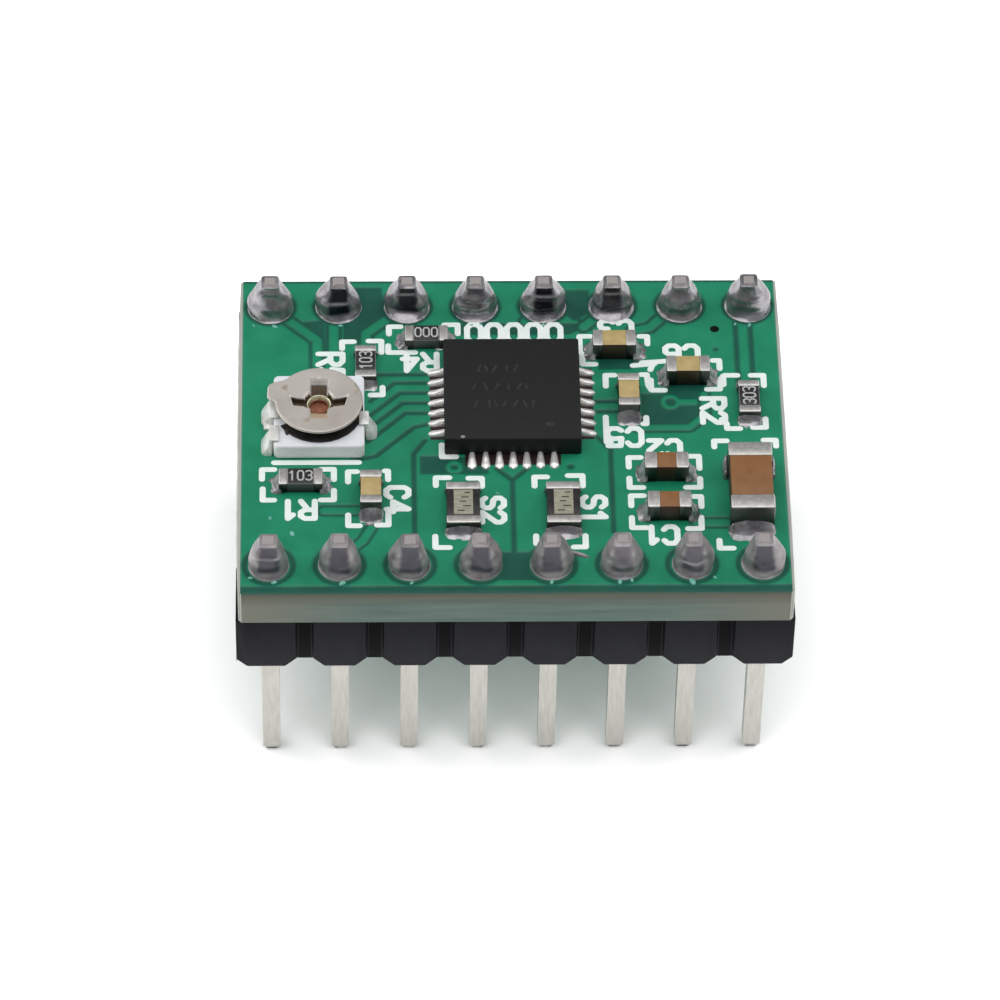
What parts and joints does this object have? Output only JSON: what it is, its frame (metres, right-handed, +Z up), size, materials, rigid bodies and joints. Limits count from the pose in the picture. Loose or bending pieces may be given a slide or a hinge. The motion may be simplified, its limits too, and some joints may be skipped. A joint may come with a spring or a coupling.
{
  "type": "stepper driver module",
  "caption": "Small green driver board on two rows of downward header pins, with a square driver chip, a single-turn trimmer and small chip parts on top.",
  "frame": {"origin": "midway between the two pin rows and midway along them, at the level of the pin tips", "axes": "+X along the pin rows, +Y from the front row to the rear row, +Z up from the pin tips to the component side"},
  "size_m": [0.0202, 0.0154, 0.0116],
  "materials": {
    "circuit_board": "gloss",
    "header_plastic": "satin",
    "pin_metal": "satin",
    "solder": "gloss",
    "chip_epoxy": "matte",
    "heat_pad_copper": "satin",
    "resistor_body": "satin",
    "sense_resistor_body": "satin",
    "capacitor_beige": "satin",
    "capacitor_brown": "satin",
    "trimmer_ceramic": "satin",
    "trimmer_film": "matte",
    "trimmer_rotor_metal": "satin",
    "trimmer_spring_brass": "satin",
    "trimmer_rivet_brass": "gloss",
    "trimmer_tin": "satin"
  },
  "bodies": {
    "module": {"circuit_board": "circuit_board", "header_block_front": "header_plastic", "header_block_rear": "header_plastic", "header_pin_front_1": "pin_metal", "header_pin_front_2": "pin_metal", "header_pin_front_3": "pin_metal", "header_pin_front_4": "pin_metal", "header_pin_front_5": "pin_metal", "header_pin_front_6": "pin_metal", "header_pin_front_7": "pin_metal", "header_pin_front_8": "pin_metal", "header_pin_rear_1": "pin_metal", "header_pin_rear_2": "pin_metal", "header_pin_rear_3": "pin_metal", "header_pin_rear_4": "pin_metal", "header_pin_rear_5": "pin_metal", "header_pin_rear_6": "pin_metal", "header_pin_rear_7": "pin_metal", "header_pin_rear_8": "pin_metal", "solder_joint_front_1": "solder", "solder_joint_front_2": "solder", "solder_joint_front_3": "solder", "solder_joint_front_4": "solder", "solder_joint_front_5": "solder", "solder_joint_front_6": "solder", "solder_joint_front_7": "solder", "solder_joint_front_8": "solder", "solder_joint_rear_1": "solder", "solder_joint_rear_2": "solder", "solder_joint_rear_3": "solder", "solder_joint_rear_4": "solder", "solder_joint_rear_5": "solder", "solder_joint_rear_6": "solder", "solder_joint_rear_7": "solder", "solder_joint_rear_8": "solder", "driver_chip_body": "chip_epoxy", "driver_chip_heat_pad": "heat_pad_copper", "resistor_rear_left": "resistor_body", "resistor_rear_centre": "resistor_body", "resistor_right": "resistor_body", "resistor_front_left": "resistor_body", "sense_resistor_left": "sense_resistor_body", "sense_resistor_right": "sense_resistor_body", "capacitor_rear_centre": "capacitor_beige", "capacitor_rear_right": "capacitor_beige", "capacitor_beside_chip": "capacitor_beige", "capacitor_front_left": "capacitor_beige", "capacitor_right_upper": "capacitor_brown", "capacitor_right_lower": "capacitor_brown", "supply_capacitor": "capacitor_brown", "trimmer_base": "trimmer_ceramic", "trimmer_track": "trimmer_film", "trimmer_eyelet": "trimmer_rivet_brass", "trimmer_terminal_left_rear": "trimmer_tin", "trimmer_terminal_left_front": "trimmer_tin", "trimmer_terminal_right": "trimmer_tin"},
    "rotor": {"trimmer_rotor": "trimmer_rotor_metal", "trimmer_wiper": "trimmer_spring_brass"}
  },
  "joints": [
    {"name": "trimmer_turn", "type": "hinge", "parent": "module", "child": "rotor", "pos_m": [-0.00708, 0.00057, 0.0115], "axis": [0, 0, 1], "range_deg": [-115, 115]}
  ]
}
